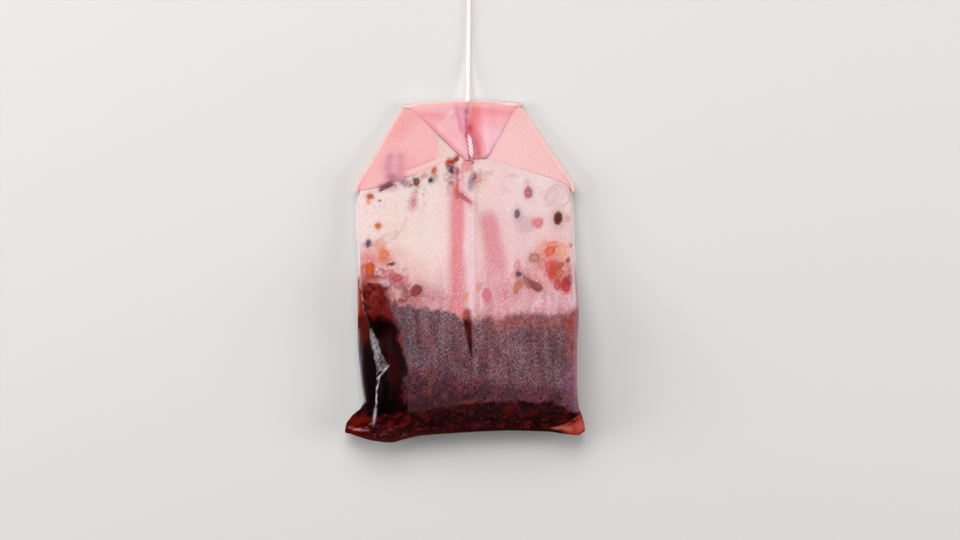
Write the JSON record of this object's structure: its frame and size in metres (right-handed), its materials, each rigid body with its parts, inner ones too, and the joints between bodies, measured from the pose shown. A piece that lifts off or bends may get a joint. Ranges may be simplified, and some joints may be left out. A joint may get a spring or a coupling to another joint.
{
  "type": "used tea bag",
  "caption": "Used wet tea bag of folded filter paper, stained pink and filled with dark fruit tea, on a cotton thread with a blank tag.",
  "frame": {"origin": "under the middle of the bag (thread's lead, coil and tag left out), on the surface it lies on", "axes": "+Y from the folded bottom to the folded tip and the thread, +X to the right seen from the front face, +Z out of the front face"},
  "size_m": [0.0468, 0.116, 0.0149],
  "materials": {
    "wet_filter_paper": "satin",
    "wet_tea": "satin",
    "cotton_thread": "matt",
    "tag_card": "matt",
    "hibiscus": "satin",
    "hibiscus_red": "satin",
    "seed_brown": "satin",
    "seed_dark": "satin",
    "peel_orange": "satin",
    "petal_pink": "satin"
  },
  "bodies": {
    "root": {"filter_paper": "wet_filter_paper", "tea_front": "wet_tea", "tea_back": "wet_tea", "thread_stitch": "cotton_thread", "thread_lead": "cotton_thread", "thread_coil": "cotton_thread", "thread_tail": "cotton_thread", "paper_tag": "tag_card", "stalk_maroon": "hibiscus", "seed_brown_oval": "seed_brown", "petal_orange_top": "peel_orange", "seed_black_top": "seed_dark", "shred_red_top": "hibiscus_red", "shred_purple_top": "hibiscus", "stalk_red": "hibiscus_red", "petal_smudge": "petal_pink", "peel_ring": "peel_orange", "shred_orange_left": "peel_orange", "petal_arrow": "hibiscus_red", "seed_grey": "seed_dark", "seed_round_brown": "seed_brown", "petal_square": "petal_pink", "leaf_faint": "petal_pink", "shred_violet": "seed_dark", "petal_outline_left": "petal_pink", "peel_pink_left": "petal_pink", "shred_dark_left": "seed_dark", "peel_orange_left": "peel_orange", "clump_red_left": "hibiscus_red", "clump_brown_left": "seed_brown", "drop_pink": "petal_pink", "seed_blue_grey": "seed_dark", "leaf_tan": "petal_pink", "wing_brown": "seed_brown", "berry_tan": "peel_orange", "peel_orange_right": "peel_orange", "shred_red_right": "hibiscus_red", "shred_dark_right": "hibiscus_red", "seed_brown_right": "seed_brown"}
  },
  "joints": []
}
